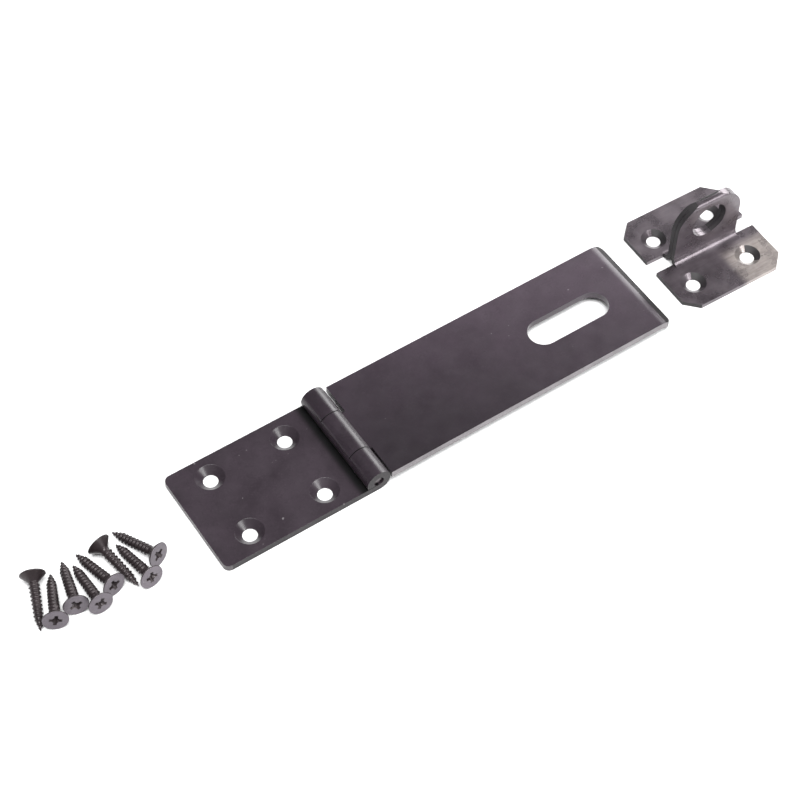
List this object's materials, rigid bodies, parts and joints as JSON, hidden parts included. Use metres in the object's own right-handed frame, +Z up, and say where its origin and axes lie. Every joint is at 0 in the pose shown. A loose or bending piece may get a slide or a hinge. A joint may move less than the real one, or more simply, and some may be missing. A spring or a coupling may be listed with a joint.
{
  "type": "hasp and staple",
  "caption": "Hinged steel hasp with a slotted swinging arm and a screw-down leaf, its folded-sheet staple with a padlock eye, and loose countersunk wood screws.",
  "frame": {"origin": "centre of the fixed leaf's four-screw pattern, on the leaf's mounting face, with the hasp opened flat", "axes": "+X from the leaf over the hinge to the arm's nose and on to the staple, +Y across the plates, +Z up out of the mounting face"},
  "size_m": [0.2739, 0.0433, 0.0258],
  "materials": {
    "japanned_leaf": "semi-gloss black-brown japanning",
    "japanned_arm": "semi-gloss black-brown japanning",
    "pin_steel": "plain cut steel, lightly painted over",
    "staple_gunmetal": "thin dark lacquer over bright sheet, glossy",
    "screw_black": "blackened steel, satin"
  },
  "bodies": {
    "leaf": {"fixed_leaf": "japanned_leaf", "hinge_pin": "pin_steel"},
    "arm": {"hasp_arm": "japanned_arm"},
    "staple": {"staple": "staple_gunmetal"},
    "screw_1": {"screw_1": "screw_black"},
    "screw_2": {"screw_2": "screw_black"},
    "screw_3": {"screw_3": "screw_black"},
    "screw_4": {"screw_4": "screw_black"},
    "screw_5": {"screw_5": "screw_black"},
    "screw_6": {"screw_6": "screw_black"},
    "screw_7": {"screw_7": "screw_black"},
    "screw_8": {"screw_8": "screw_black"}
  },
  "joints": [
    {"name": "arm_hinge", "type": "hinge", "parent": "leaf", "child": "arm", "pos_m": [0.0284, 0, 0.0042], "axis": [0, -1, 0], "range_deg": [0, 170]},
    {"name": "staple_lift", "type": "slide", "parent": "leaf", "child": "staple", "axis": [0, 0, 1], "range_m": [0, 0.04]},
    {"name": "screw_1_lift", "type": "slide", "parent": "leaf", "child": "screw_1", "axis": [0, 0, 1], "range_m": [0, 0.006]},
    {"name": "screw_2_lift", "type": "slide", "parent": "leaf", "child": "screw_2", "axis": [0, 0, 1], "range_m": [0, 0.006]},
    {"name": "screw_3_lift", "type": "slide", "parent": "leaf", "child": "screw_3", "axis": [0, 0, 1], "range_m": [0, 0.006]},
    {"name": "screw_4_lift", "type": "slide", "parent": "leaf", "child": "screw_4", "axis": [0, 0, 1], "range_m": [0, 0.006]},
    {"name": "screw_5_lift", "type": "slide", "parent": "leaf", "child": "screw_5", "axis": [0, 0, 1], "range_m": [0, 0.006]},
    {"name": "screw_6_lift", "type": "slide", "parent": "leaf", "child": "screw_6", "axis": [0, 0, 1], "range_m": [0, 0.006]},
    {"name": "screw_7_lift", "type": "slide", "parent": "leaf", "child": "screw_7", "axis": [0, 0, 1], "range_m": [0, 0.006]},
    {"name": "screw_8_lift", "type": "slide", "parent": "leaf", "child": "screw_8", "axis": [0, 0, 1], "range_m": [0, 0.006]}
  ]
}
